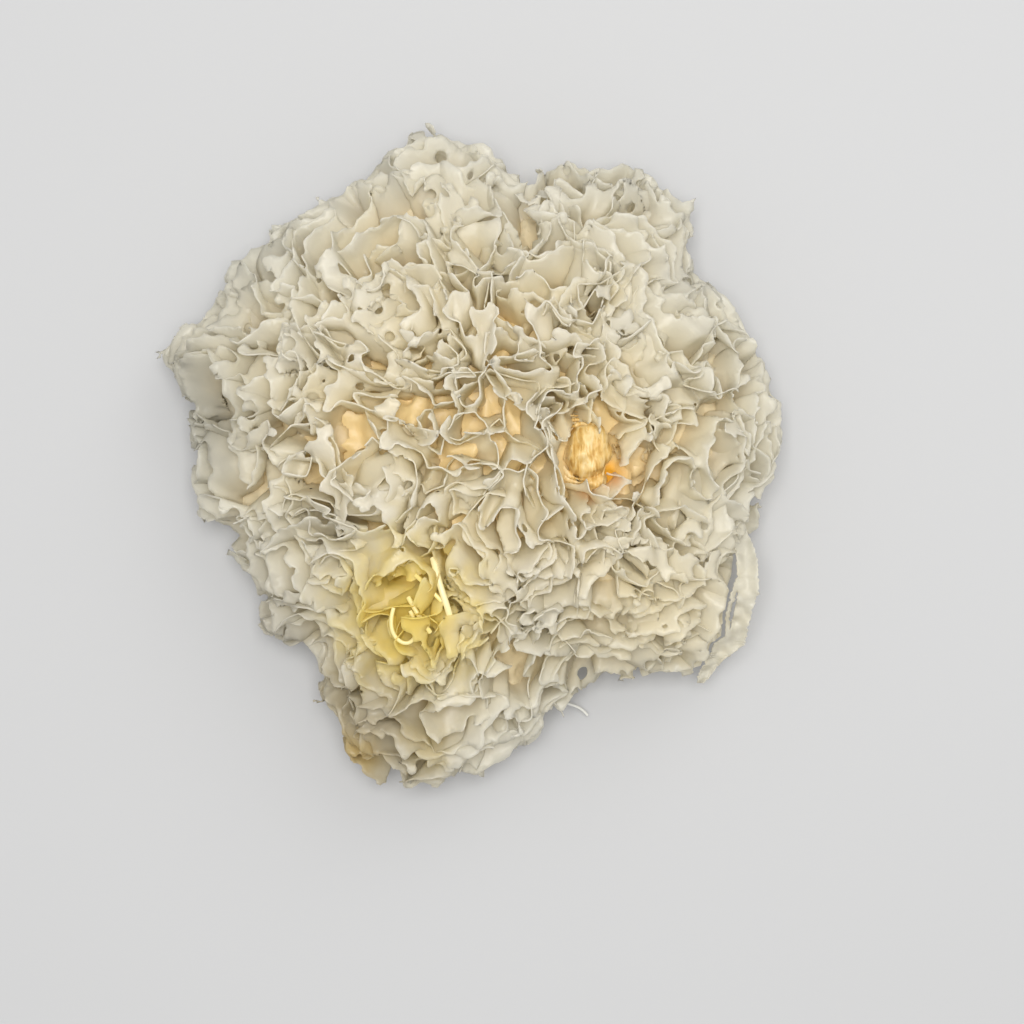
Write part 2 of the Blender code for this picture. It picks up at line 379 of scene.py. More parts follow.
@dataclass
class HeadForm:
    """Overall form of the head: a low dome, flat below, whose rim is lifted."""

    height: float = 57.5
    rim_height: float = 14.0
    flat_share: float = 0.60
    lift_power: float = 1.6
    crown_fall: float = 2.3
    crown_fullness: float = 0.62
    crown_slope: float = 0.85
    flesh_depth: float = 8.4
    rim_flesh_depth: float = 14.0
    reach: tuple[float, ...] = (
        80.0, 81.2, 80.0, 78.5, 75.5, 85.7, 87.1, 82.1, 76.0,
        82.5, 85.8, 80.0, 77.0, 78.5, 80.5, 78.5, 85.0, 74.5,
        72.8, 72.3, 66.4, 66.0, 69.0, 65.5, 74.0, 85.7, 86.6,
        82.8, 75.0, 68.5, 66.0, 72.5, 81.8, 81.0, 76.5, 76.0,
    )

    def depths(self, points: np.ndarray) -> Depths:
        """Depths of points inside the head's form.

        Args:
            points: Array whose last axis is x, y, z.

        Returns:
            The depths, as arrays without the last axis.
        """
        x, y, z = points[..., 0], points[..., 1], points[..., 2]
        stops = np.array(self.reach, dtype=np.float32)
        turn = (np.arctan2(y, x) / (2 * np.pi)) % 1 * len(stops)
        before = turn.astype(np.int32) % len(stops)
        part = turn - np.floor(turn)
        part = part * part * (3 - 2 * part)
        reach = stops[before] * (1 - part) + stops[(before + 1) % len(stops)] * part
        across = np.hypot(x, y)
        share = across / reach
        dome = np.clip(1 - share**self.crown_fall, 0, 1) ** self.crown_fullness
        crown = self.rim_height + (self.height - self.rim_height) * dome
        lift = np.clip((share - self.flat_share) / (1 - self.flat_share), 0, 1) ** self.lift_power
        inside = reach - across
        flesh = self.flesh_depth + (self.rim_flesh_depth - self.flesh_depth) * np.clip(share, 0, 1)
        under = (crown - z) * self.crown_slope
        return Depths(
            share=share,
            below=np.minimum(under, inside),
            under=under,
            inside=inside,
            above=z - self.rim_height * lift,
            flesh=flesh,
        )


# Surfaces


def zero_surface(values: np.ndarray, step: float, start: np.ndarray) -> tuple[np.ndarray, np.ndarray]:
    """The surface where a grid of values changes sign, as one vertex per crossed cell.

    Args:
        values: Values on a regular grid.
        step: Distance between grid points.
        start: Place of the first grid point.

    Returns:
        Vertex places, and quads as rows of four vertex numbers.
    """
    across, deep = values.shape[1] - 1, values.shape[2] - 1
    cells = (values.shape[0] - 1) * across * deep
    sums = np.zeros((4, cells))
    quads = []
    for axis in range(3):
        low = tuple(slice(0, -1) if n == axis else slice(1, -1) for n in range(3))
        high = tuple(slice(1, None) if n == axis else slice(1, -1) for n in range(3))
        first, second = values[low], values[high]
        crossed = first * second < 0
        spot = np.argwhere(crossed)
        others = [n for n in range(3) if n != axis]
        spot[:, others] += 1
        begin, end = first[crossed], second[crossed]
        place = spot.astype(np.float32)
        place[:, axis] += begin / (begin - end)
        corners = []
        for back in ((0, 0), (1, 0), (1, 1), (0, 1)):
            cell = spot.copy()
            cell[:, others] -= back
            number = (cell[:, 0] * across + cell[:, 1]) * deep + cell[:, 2]
            for n in range(3):
                sums[n] += np.bincount(number, weights=place[:, n], minlength=cells)
            sums[3] += np.bincount(number, minlength=cells)
            corners.append(number)
        quad = np.stack(corners, axis=1)
        turned = (begin > 0) ^ (axis == 1)
        quad[turned] = quad[turned][:, ::-1]
        quads.append(quad)
    quads = np.concatenate(quads)
    used, quads = np.unique(quads, return_inverse=True)
    places = sums[:3, used] / sums[3, used]
    return (places.T * step + start).astype(np.float32), quads.reshape(-1, 4)


@dataclass
class Sheet:
    """A surface of quads, in millimetres."""

    places: np.ndarray
    quads: np.ndarray

    def keep(self, chosen: np.ndarray) -> None:
        """Drop all quads but the chosen ones, and the vertices that no quad uses.

        Args:
            chosen: One truth value for each quad.
        """
        used, quads = np.unique(self.quads[chosen], return_inverse=True)
        self.places = self.places[used]
        self.quads = quads.reshape(-1, 4)

    def edges(self) -> tuple[np.ndarray, np.ndarray]:
        """Find the edges of all quads.

        Returns:
            Each edge once, as a pair of vertex numbers, and how many quads share it.
        """
        pairs = np.concatenate([self.quads[:, [n, (n + 1) % 4]] for n in range(4)])
        pairs = np.sort(pairs, axis=1).astype(np.int64)
        keys, counts = np.unique(pairs[:, 0] * len(self.places) + pairs[:, 1], return_counts=True)
        return np.stack((keys // len(self.places), keys % len(self.places)), axis=1), counts

    def drop_scraps(self, smallest: int) -> None:
        """Drop connected pieces of fewer vertices than the smallest.

        Args:
            smallest: Number of vertices of the smallest piece to keep.
        """
        edges, _ = self.edges()
        label = np.arange(len(self.places))
        while True:
            low = np.minimum(label[edges[:, 0]], label[edges[:, 1]])
            joined = label.copy()
            np.minimum.at(joined, label[edges[:, 0]], low)
            np.minimum.at(joined, label[edges[:, 1]], low)
            joined = joined[joined]
            joined = joined[joined]
            joined = np.minimum(joined, joined[label])
            if (joined == label).all():
                break
            label = joined
        size = np.bincount(label, minlength=len(label))
        self.keep(size[label[self.quads[:, 0]]] >= smallest)

    def normals(self) -> np.ndarray:
        """Work out which way the surface faces.

        Returns:
            Unit normal of each vertex.
        """
        corner = self.places[self.quads]
        face = np.cross(corner[:, 2] - corner[:, 0], corner[:, 3] - corner[:, 1])
        total = np.zeros((len(self.places), 3))
        for axis in range(3):
            for n in range(4):
                total[:, axis] += np.bincount(
                    self.quads[:, n], weights=face[:, axis], minlength=len(self.places)
                )
        length = np.maximum(np.linalg.norm(total, axis=1, keepdims=True), TINY)
        return (total / length).astype(np.float32)

    def rim(self) -> np.ndarray:
        """Find the vertices that lie on a free edge.

        Returns:
            One truth value for each vertex.
        """
        edges, counts = self.edges()
        free = np.zeros(len(self.places), dtype=bool)
        free[edges[counts == 1].ravel()] = True
        return free

    def smooth(self, rounds: int, strength: float) -> None:
        """Draw the surface taut between its free edges.

        Args:
            rounds: Number of times that each vertex moves towards its neighbours' middle.
            strength: Share of the way that it moves.
        """
        edges, _ = self.edges()
        moving = ~self.rim()
        both = np.concatenate((edges, edges[:, ::-1]))
        near = np.bincount(both[:, 0], minlength=len(self.places))
        for _ in range(rounds):
            for axis in range(3):
                pull = np.bincount(both[:, 0], weights=self.places[both[:, 1], axis])
                step = ((pull / near).astype(np.float32) - self.places[:, axis]) * strength
                self.places[moving, axis] += step[moving]


def shortened(moves: np.ndarray, longest: float) -> np.ndarray:
    """Cut moves to a greatest length.

    Args:
        moves: Array of shape (n, 3).
        longest: The greatest length.

    Returns:
        The moves, of which none is longer.
    """
    length = np.maximum(np.linalg.norm(moves, axis=1, keepdims=True), TINY)
    return moves * np.minimum(1.0, longest / length)


@dataclass(frozen=True)
class Family:
    """One family of membranes.

    Attributes:
        name: Plain name, for the log.
        seed: Seed of its patterns.
        length: Width of its cells at the outline, in millimetres.
        spread: How far its cells widen along their ray; 0 leaves them as long as wide.
        flattening: How far its cells are flattened upright.
        softness: How far its walls bend.
        lower: How far its rims lie below the head's form.
        uneven: How much that depth varies.
        uneven_length: Wave length of that variation.
        zone: Shares of the way from the axis to the outline between which it grows.
    """

    name: str
    seed: int
    length: float
    spread: float
    flattening: float
    softness: float
    lower: float
    uneven: float
    uneven_length: float
    zone: tuple[float, float] = (-1.0, 2.0)


@dataclass
class Growth:
    """Grows the membranes and the fleshy heart of the head."""

    form: HeadForm = field(default_factory=HeadForm)
    fork: Place = (14.0, 0.0, 8.0)
    drifts: tuple[tuple[float, float, int], ...] = ((24.0, 6.0, 100), (9.0, 1.6, 110))
    # Grid that the surfaces are read from
    step: float = 0.75
    grid_half: tuple[float, float] = (85.0, 89.0)
    grid_height: tuple[float, float] = (-1.0, 62.0)
    margin: float = 6.0
    # Cells
    spread_at: float = 80.0
    nearest: float = 0.5
    bend_scale: float = 0.8
    bend_shift: float = 3.3
    seed_shift: float = 1.7
    smallest: int = 250
    taut_rounds: int = 5
    taut_strength: float = 0.5
    # Torn rims, as wave length and height of their lobes, and as bites
    lobe: tuple[float, float] = (8.0, 2.2)
    broad_lobe: tuple[float, float] = (30.0, 2.0)
    broad_shift: float = 7.0
    bites: Tear = Tear(9, 6.5, 0.62, 6.2, 0.37)
    nibbles: Tear = Tear(10, 3.0, 0.6, 2.6, 0.71)
    holes: Tear = Tear(11, 11.0, 0.17, 11.0, 0.53)
    zone_fade: float = 45.0
    underside_slack: float = 0.5
    root: tuple[float, float] = (9.0, 2.5)
    root_shift: float = 50.0
    # Outline, with notches that are tall because they are read from lowered points
    overhang: float = 6.0
    outline_slack: float = 9.0
    outline_height: float = 0.3
    outline_notches: Tear = Tear(12, 7.0, 0.88, 14.0)
    outline_nibbles: Tear = Tear(10, 3.4, 0.6, 3.0)
    box_half: tuple[float, float] = (82.6, 87.2)
    box_top: float = 59.6
    # Room for the strip and the stub
    strip_top: float = -24.0
    strip_gap: float = 0.8
    strip_hold: float = 2.0
    stub_place: Place = (28.6, 0.6, 46.5)
    stub_clear: float = 8.4
    stub_from: float = 36.0
    everywhere: float = 9.0
    # How free edges slide onto the torn rim
    rim_rounds: int = 4
    rim_step: float = 0.4
    rim_reach: float = 0.9
    rim_probe: float = 0.25
    rim_damping: float = 0.05
    deepest_rim: float = 4.0
    # Heart
    heart_lift: float = 1.0
    heart_floor: float = 0.1
    heart_lumps: tuple[tuple[int, float, float], ...] = ((70, 5.5, 1.8), (71, 2.6, 0.6))
    heart_dimples: Tear = Tear(72, 4.6, 0.55, 2.6)
    families: tuple[Family, ...] = (
        Family("pits", 0, 6.8, 0.45, 1.1, 0.25, -0.5, 2.0, 9.0, (-1.0, 0.70)),
        Family("leaves", 20, 14.0, 0.65, 1.5, 0.35, 0.0, 2.0, 12.0, (0.45, 2.0)),
        Family("webs", 40, 12.0, 0.30, 1.3, 0.30, 0.8, 2.8, 9.0),
        Family("frills", 60, 13.5, 0.75, 1.6, 0.40, 0.6, 3.5, 8.0),
    )

    def __post_init__(self) -> None:
        """Lay out the grid and the noises that all families share."""
        self.drift = Drift(self.drifts)
        self.lobes = Noise(8)
        (half_x, half_y), (low, high) = self.grid_half, self.grid_height
        x = np.arange(-half_x, half_x + self.step, self.step, dtype=np.float32)
        y = np.arange(-half_y, half_y + self.step, self.step, dtype=np.float32)
        z = np.arange(low, high, self.step, dtype=np.float32)
        self.start = np.array((x[0], y[0], z[0]), dtype=np.float32)
        self.shape = (len(x), len(y), len(z))
        grid = np.stack(np.meshgrid(x, y, z, indexing="ij"), axis=-1)
        self.depths = self.form.depths(grid)
        rough = np.minimum(self.depths.below, self.depths.above)
        self.active = (rough > -self.margin) & (self.depths.below < self.depths.flesh + self.margin)
        points = grid[self.active]
        self.away = points + self.drift(points) - np.array(self.fork, dtype=np.float32)
        self.far = np.sqrt((self.away * self.away).sum(axis=1, keepdims=True)) + self.nearest

    def cells(self, family: Family, chosen: np.ndarray) -> np.ndarray:
        """Points as a family's cells see them: from the fork, with distances along a ray compressed.

        Args:
            family: The family.
            chosen: Which of the active points.

        Returns:
            Array of shape (n, 3), in cells.
        """
        seen = self.away[chosen] * (self.spread_at / self.far[chosen]) ** family.spread
        seen[:, 2] *= family.flattening
        return seen / family.length + family.seed * self.seed_shift

    def trim(self, points: np.ndarray, family: Family) -> np.ndarray:
        """How far a membrane goes on past a point before it is torn off.

        Args:
            points: Array of shape (n, 3).
            family: The membranes' family.

        Returns:
            Array of n depths behind the torn rim.
        """
        depths = self.form.depths(points)
        size, height = self.lobe
        torn = np.minimum(depths.under, depths.inside + self.outline_slack) - family.lower
        torn += self.lobes(points / size + family.seed) * height
        torn -= self.lobes(points / family.uneven_length - family.seed) * family.uneven
        size, height = self.broad_lobe
        torn -= self.lobes(points / size + self.broad_shift) * height
        torn += self.bites(points, family.seed)
        torn += self.nibbles(points, family.seed)
        torn = np.minimum(torn, (depths.share - family.zone[0]) * self.zone_fade)
        torn = np.minimum(torn, (family.zone[1] - depths.share) * self.zone_fade)
        upright = points * np.array((1.0, 1.0, self.outline_height), dtype=np.float32)
        notched = depths.inside + self.overhang
        notched += np.minimum(self.outline_notches(upright), 0.0)
        notched += self.outline_nibbles(upright)
        walls = np.minimum.reduce((
            self.box_half[0] - abs(points[:, 0]), self.box_half[1] - abs(points[:, 1]),
            self.box_top - points[:, 2], self.beside_strip(points),
        ))
        hole = self.holes(points, family.seed)
        stub = np.linalg.norm(points - np.array(self.stub_place, dtype=np.float32), axis=1)
        clear = np.where(points[:, 2] > self.stub_from, stub - self.stub_clear, self.everywhere)
        return np.minimum.reduce((torn, notched, walls, depths.above + self.underside_slack, hole, clear))

    def beside_strip(self, points: np.ndarray) -> np.ndarray:
        """How far points lie to the left of the hanging strip.

        Args:
            points: Array of shape (n, 3).

        Returns:
            Array of n distances, large where the strip is attached.
        """
        rows = [row for row in STRIP_ROWS if row.y < self.strip_top]
        down = -points[:, 1]
        left = np.interp(down, [-row.y for row in rows], [row.left for row in rows])
        freed = left - self.strip_gap - points[:, 0]
        return np.where(down > -self.strip_top, freed, freed - (down + self.strip_top) * self.strip_hold)

    def snap_rim(self, sheet: Sheet, family: Family) -> None:
        """Slide the free edges along the sheet onto the torn rim.

        Args:
            sheet: The membranes to change.
            family: Their family.
        """
        free = np.flatnonzero(sheet.rim())
        places, normals = sheet.places[free], sheet.normals()[free]
        depths = self.form.depths(places)
        upper = depths.below < depths.flesh - self.deepest_rim
        for _ in range(self.rim_rounds):
            depth = self.trim(places, family)
            slope = np.stack([
                (self.trim(places + axis * self.rim_probe, family) - depth) / self.rim_probe
                for axis in np.eye(3, dtype=np.float32)
            ], axis=1)
            slope -= (slope * normals).sum(axis=1, keepdims=True) * normals
            steepness = (slope * slope).sum(axis=1, keepdims=True) + self.rim_damping
            move = shortened(-depth[:, None] * slope / steepness, self.rim_step)
            shift = places + move * upper[:, None] - sheet.places[free]
            places = sheet.places[free] + shortened(shift, self.rim_reach)
        sheet.places[free] = places

    def membranes(self, family: Family) -> Sheet:
        """Grow one family of membranes.

        Args:
            family: The family.

        Returns:
            Its membranes, torn and drawn taut.
        """
        share = self.depths.share[self.active]
        slack = self.margin / self.zone_fade
        chosen = (share > family.zone[0] - slack) & (share < family.zone[1] + slack)
        cells = self.cells(family, chosen)
        bend = Noise(family.seed + 1)(cells * self.bend_scale + self.bend_shift)
        found = np.full(len(chosen), np.nan, dtype=np.float32)
        found[chosen] = Foam(family.seed)(cells) + family.softness * bend
        values = np.full(self.shape, np.nan, dtype=np.float32)
        values[self.active] = found
        sheet = Sheet(*zero_surface(values, self.step, self.start))
        depths = self.form.depths(sheet.places)
        size, height = self.root
        lowest = depths.flesh + self.lobes(sheet.places / size + self.root_shift) * height
        kept = (self.trim(sheet.places, family) > 0) & (depths.below < lowest)
        sheet.keep(kept[sheet.quads].sum(axis=1) >= 3)
        sheet.drop_scraps(self.smallest)
        self.snap_rim(sheet, family)
        sheet.smooth(self.taut_rounds, self.taut_strength)
        return sheet

    def heart(self) -> Sheet:
        """Grow the lumpy flesh that the membranes rise from.

        Returns:
            Its closed surface.
        """
        depths = self.depths
        values = np.full(self.shape, -1.0, dtype=np.float32)
        deep = self.active | (depths.below >= depths.flesh)
        points = np.argwhere(deep).astype(np.float32) * self.step + self.start
        lumps = sum(Noise(seed)(points / size) * height for seed, size, height in self.heart_lumps)
        lumps += self.heart_dimples(points)
        inner = np.minimum(depths.below[deep] - depths.flesh[deep] + self.heart_lift, depths.above[deep])
        values[deep] = np.minimum(inner + lumps, points[:, 2] - self.heart_floor)
        return Sheet(*zero_surface(values, self.step, self.start))


# Finishes


class Paint:
    """A new material with its Principled shader, and the nodes that most finishes need."""

    MIX_BELOW = 6
    MIX_ABOVE = 7
    MIX_RESULT = 2

    def __init__(self, name: str, roughness: float) -> None:
        """Start the material.

        Args:
            name: The material's name.
            roughness: The shader's roughness.
        """
        self.material = bpy.data.materials.new(name)
        self.material.use_nodes = True
        self.tree = self.material.node_tree
        self.shader = self.tree.nodes["Principled BSDF"]
        self.shader.inputs["Roughness"].default_value = roughness
        self.place = self.node("TexCoord").outputs["Object"]

    def node(self, kind: str, **inputs: object) -> bpy.types.Node:
        """Add a shader node.

        Args:
            kind: The node's type, without its first words.
            inputs: Values or output sockets for its inputs, by the name with underscores for blanks.

        Returns:
            The new node.
        """
        node = self.tree.nodes.new(f"ShaderNode{kind}")
        for name, value in inputs.items():
            self.put(node.inputs[name.replace("_", " ")], value)
        return node

    def put(self, socket: bpy.types.NodeSocket, value: object) -> None:
        """Give an input socket a value, or link it to an output socket.

        Args:
            socket: The input socket.
            value: The value or the output socket.
        """
        if isinstance(value, bpy.types.NodeSocket):
            self.tree.links.new(value, socket)
        else:
            socket.default_value = value

    def attribute(self, name: str) -> bpy.types.NodeSocket:
        """Read one of the mesh's attributes.

        Args:
            name: The attribute's name.

        Returns:
            Output socket of its value.
        """
        node = self.node("Attribute")
        node.attribute_name = name
        return node.outputs["Fac"]

    def ramp(self, factor: bpy.types.NodeSocket, stops: dict[float, Colour]) -> bpy.types.NodeSocket:
        """Turn a factor into a colour.

        Args:
            factor: Output socket of the factor.
            stops: The colours by their places, from the lowest.

        Returns:
            Output socket of the colour.
        """
        node = self.node("ValToRGB", Fac=factor)
        elements = node.color_ramp.elements
        places = list(stops)
        elements[0].position, elements[1].position = places[0], places[-1]
        for place in places[1:-1]:
            elements.new(place)
        for element, colour in zip(elements, stops.values()):
            element.color = (*colour, 1.0)
        return node.outputs["Color"]

    def cover(self, below: object, colour: Colour, share: bpy.types.NodeSocket) -> bpy.types.NodeSocket:
        """Lay a plain colour over another.

        Args:
            below: The colour below, or its output socket.
            colour: The colour on top.
            share: Output socket of how far it covers.

        Returns:
            Output socket of the new colour.
        """
        mix = self.node("Mix")
        mix.data_type = "RGBA"
        self.put(mix.inputs["Factor"], share)
        self.put(mix.inputs[self.MIX_BELOW], below)
        self.put(mix.inputs[self.MIX_ABOVE], (*colour, 1.0))
        return mix.outputs[self.MIX_RESULT]

    def bump(self, height: bpy.types.NodeSocket, distance: float) -> None:
        """Raise the surface by a pattern, in its shading alone.

        Args:
            height: Output socket of the pattern.
            distance: Height of the pattern in metres.
        """
        bump = self.node("Bump", Height=height, Distance=distance, Strength=1.0)
        self.put(self.shader.inputs["Normal"], bump.outputs["Normal"])

    def colour(self, colour: bpy.types.NodeSocket) -> None:
        """Link a colour to the shader."""
        self.put(self.shader.inputs["Base Color"], colour)


@dataclass(frozen=True)
class StainAndShade:
    """A coloured patch laid over the flesh: a real stain, or a grey patch of painted shade.

    Attributes:
        centre: Its middle, in metres.
        radius: How far it reaches, in metres.
        colour: Its colour where it is strongest.
        strength: How far it covers the flesh's own colour.
    """

    centre: Place
    radius: float
    colour: Colour
    strength: float


@dataclass(frozen=True)
class FleshFinish:
    """Wet translucent flesh. Its colour holds painted light: whiter near the crown and amber in the hollows,
    partly the flesh's own tone and partly painted glow of light scattered in the hollows. It also has a
    greyer margin of painted shade, real stains, and grey patches of painted shade.
    """

    # Painted light: rim, middle and deep run by depth, whiter near the crown and outline and amber in the
    # hollows. This is partly the flesh's own warmer tone towards the base and partly painted glow of light
    # scattered in the hollows.
    rim: Colour = (0.93, 0.89, 0.78)
    middle: Colour = (0.95, 0.88, 0.68)
    deep: Colour = (0.94, 0.78, 0.44)
    # Painted shade: the margin colour turns the thin flesh greyer towards the outline, as if darkness showed
    # through it.
    margin: Colour = (0.86, 0.84, 0.76)
    margin_shade_cover: float = 0.85
    margin_from: float = 0.45
    middle_at: float = 0.40
    deep_at: float = 12.0
    roughness: float = 0.30
    glow: float = 0.60
    flesh: Colour = (0.72, 0.54, 0.26)
    # Painted shade: the heart also turns greyer towards the outline.
    flesh_margin_shade: Colour = (0.72, 0.68, 0.54)
    flesh_roughness: float = 0.46
    patch_height: float = 0.35
    patch_blur: float = 160.0
    patch_edge: tuple[float, float] = (0.5, 1.8)
    speck: Colour = (0.07, 0.05, 0.03)
    speck_density: float = 45.0
    speck_size: float = 0.020
    speck_edge: float = 0.7
    wrinkle_scale: float = 420.0
    wrinkle_height: float = 0.00025
    stains_and_shades: tuple[StainAndShade, ...] = (
        # Painted shade: the first four patches, grey and grey-tan on the left and lower left, darken the
        # thin, lower flesh there. The others are stains: a cream patch, the yellow patch, amber spots and the
        # orange pits beside the stub.
        StainAndShade((-0.0760, 0.0120, 0.020), 0.026, (0.60, 0.58, 0.50), 0.60),
        StainAndShade((-0.0300, -0.0700, 0.020), 0.027, (0.60, 0.52, 0.34), 0.70),
        StainAndShade((-0.0560, -0.0420, 0.020), 0.018, (0.62, 0.58, 0.48), 0.50),
        StainAndShade((-0.0600, 0.0560, 0.020), 0.018, (0.66, 0.65, 0.58), 0.45),
        StainAndShade((0.0450, -0.0380, 0.030), 0.028, (0.94, 0.86, 0.64), 0.50),
        StainAndShade((-0.0150, -0.0380, 0.046), 0.021, (0.96, 0.80, 0.17), 0.84),
        StainAndShade((-0.0293, -0.0743, 0.020), 0.009, (0.74, 0.58, 0.24), 0.70),
        StainAndShade((-0.0104, -0.0718, 0.022), 0.008, (0.88, 0.76, 0.40), 0.50),
        StainAndShade((0.0345, -0.0040, 0.042), 0.0045, (0.85, 0.40, 0.02), 1.00),
        StainAndShade((0.0290, -0.0085, 0.042), 0.0035, (0.80, 0.42, 0.05), 0.90),
    )

    def membrane(self, name: str) -> bpy.types.Material:
        """Build the material of the thin membranes, which glow where light falls through them.

        Args:
            name: The material's name.

        Returns:
            The material.
        """
        paint = Paint(name, self.roughness)
        # Painted light: the colour runs by depth from whiter near the crown to amber in the hollows, partly
        # the flesh's own tone and partly painted glow of scattered light.
        stops = {0.0: self.rim, self.middle_at: self.middle, 1.0: self.deep}
        depth = paint.node("MapRange", Value=paint.attribute("depth"), From_Max=self.deep_at)
        colour = self.dressed(paint, paint.ramp(depth.outputs["Result"], stops), self.margin)
        glow = paint.node("BsdfTranslucent", Color=colour)
        mix = paint.node("MixShader", Fac=self.glow)
        paint.put(mix.inputs[1], paint.shader.outputs["BSDF"])
        paint.put(mix.inputs[2], glow.outputs["BSDF"])
        paint.put(paint.tree.nodes["Material Output"].inputs["Surface"], mix.outputs["Shader"])
        return paint.material

    def heart(self, name: str) -> bpy.types.Material:
        """Build the material of the thick flesh between the membranes.

        Args:
            name: The material's name.

        Returns:
            The material.
        """
        paint = Paint(name, self.flesh_roughness)
        self.dressed(paint, (*self.flesh, 1.0), self.flesh_margin_shade)
        return paint.material

    def dressed(self, paint: Paint, colour: object, margin: Colour) -> bpy.types.NodeSocket:
        """Add the painted grey margin shade, the stains and the grey patches of painted shade, the specks and
        the wrinkles.

        Args:
            paint: The material.
            colour: Its colour inside, or the output socket of it.
            margin: Its colour at the outline, a painted shade that makes the thin outer flesh greyer, as if
                darkness showed through it.

        Returns:
            Output socket of its colour.
        """
        # Painted shade: from margin_from outwards the colour turns towards the grey margin colour.
        clear = paint.node(
            "MapRange", Value=paint.attribute("share"), From_Min=self.margin_from, From_Max=1.0,
            To_Max=self.margin_shade_cover,
        )
        colour = paint.cover(colour, margin, clear.outputs["Result"])
        blur = paint.node("TexNoise", Vector=paint.place, Scale=self.patch_blur, Detail=2.0)
        # Lays the real stains and the grey patches of painted shade.
        for patch in self.stains_and_shades:
            colour = self.stained_and_shaded(paint, colour, blur.outputs["Fac"], patch)
        dots = paint.node("TexVoronoi", Vector=paint.place, Scale=self.speck_density)
        specks = paint.node(
            "MapRange", Value=dots.outputs["Distance"], From_Min=self.speck_size * self.speck_edge,
            From_Max=self.speck_size, To_Min=1.0, To_Max=0.0,
        )
        colour = paint.cover(colour, self.speck, specks.outputs["Result"])
        paint.colour(colour)
        wrinkles = paint.node("TexNoise", Vector=paint.place, Scale=self.wrinkle_scale, Detail=3.0)
        paint.bump(wrinkles.outputs["Fac"], self.wrinkle_height)
        return colour

    def stained_and_shaded(
        self, paint: Paint, colour: bpy.types.NodeSocket, blur: bpy.types.NodeSocket, patch: StainAndShade
    ) -> bpy.types.NodeSocket:
        """Lay a patch with a frayed edge over a colour: a real stain, or a grey patch of painted shade.

        Args:
            paint: The material.
            colour: Output socket of the colour below.
            blur: Output socket of the noise that frays the edge.
            patch: The patch.

        Returns:
            Output socket of the colour with the patch over it.
        """
        x, y, z = patch.centre
        near = paint.node(
            "Mapping", Vector=paint.place, Location=(-x, -y, -z * self.patch_height),
            Scale=(1.0, 1.0, self.patch_height),
        )
        away = paint.node("VectorMath", Vector=near.outputs["Vector"])
        away.operation = "LENGTH"
        ragged = paint.node("Math")
        ragged.operation = "MULTIPLY_ADD"
        for socket, value in zip(ragged.inputs, (blur, patch.radius, away.outputs["Value"])):
            paint.put(socket, value)
        inner, outer = self.patch_edge
        share = paint.node(
            "MapRange", Value=ragged.outputs["Value"], From_Min=patch.radius * inner,
            From_Max=patch.radius * outer, To_Min=patch.strength, To_Max=0.0,
        )
        share.interpolation_type = "SMOOTHSTEP"
        return paint.cover(colour, patch.colour, share.outputs["Result"])


# Pieces


def clear_selection() -> None:
    """Leave edit mode and select nothing."""
    if bpy.context.object is not None and bpy.context.object.mode != "OBJECT":
        bpy.ops.object.mode_set(mode="OBJECT")
    bpy.ops.object.select_all(action="DESELECT")


def select_only(piece: bpy.types.Object) -> None:
    """Make one object the selected and active one.

    Args:
        piece: The object.
    """
    clear_selection()
    piece.select_set(True)
    bpy.context.view_layer.objects.active = piece


def apply_modifiers(piece: bpy.types.Object) -> None:
    """Apply all modifiers of an object.

    Args:
        piece: The object.
    """
    select_only(piece)
    for modifier in list(piece.modifiers):
        bpy.ops.object.modifier_apply(modifier=modifier.name)


def mesh_object(name: str, places: np.ndarray, corners: np.ndarray, sizes: np.ndarray) -> bpy.types.Object:
    """Make a smooth-shaded mesh object.

    Args:
        name: The object's name.
        places: Vertex places in metres.
        corners: Vertex number of each face corner.
        sizes: Number of corners of each face.

    Returns:
        The new object, linked to the scene.
    """
    mesh = bpy.data.meshes.new(name)
    mesh.vertices.add(len(places))
    mesh.vertices.foreach_set("co", places.astype(np.float32).ravel())
    mesh.loops.add(len(corners))
    mesh.loops.foreach_set("vertex_index", corners.astype(np.int32))
    mesh.polygons.add(len(sizes))
    starts = np.concatenate(((0,), np.cumsum(sizes)[:-1])).astype(np.int32)
    mesh.polygons.foreach_set("loop_start", starts)
    mesh.update(calc_edges=True)
    mesh.validate()
    mesh.shade_smooth()
    piece = bpy.data.objects.new(name, mesh)
    bpy.context.scene.collection.objects.link(piece)
    return piece


def mark_vertices(piece: bpy.types.Object, **marks: np.ndarray) -> None:
    """Store numbers with an object's vertices, for the finishes.

    Args:
        piece: The object.
        marks: One array of numbers for each name.
    """
    for name, values in marks.items():
        mark = piece.data.attributes.new(name, "FLOAT", "POINT")
        mark.data.foreach_set("value", values.astype(np.float32))


def thicken(piece: bpy.types.Object, thickness: float) -> None:
    """Turn a surface into a thin body round it.

    Args:
        piece: The object.
        thickness: Its thickness in metres.
    """
    body = piece.modifiers.new("thickness", "SOLIDIFY")
    body.thickness = thickness
    body.offset = 0.0
    apply_modifiers(piece)


def read(collection: object, name: str, width: int, kind: type) -> np.ndarray:
    """Read one property of all members of a mesh's collection.

    Args:
        collection: Such as a mesh's vertices.
        name: The property's name.
        width: Numbers per member.
        kind: Number type.

    Returns:
        Array with one row per member.
    """
    values = np.empty(len(collection) * width, dtype=kind)
    collection.foreach_get(name, values)
    return values.reshape(-1, width) if width > 1 else values


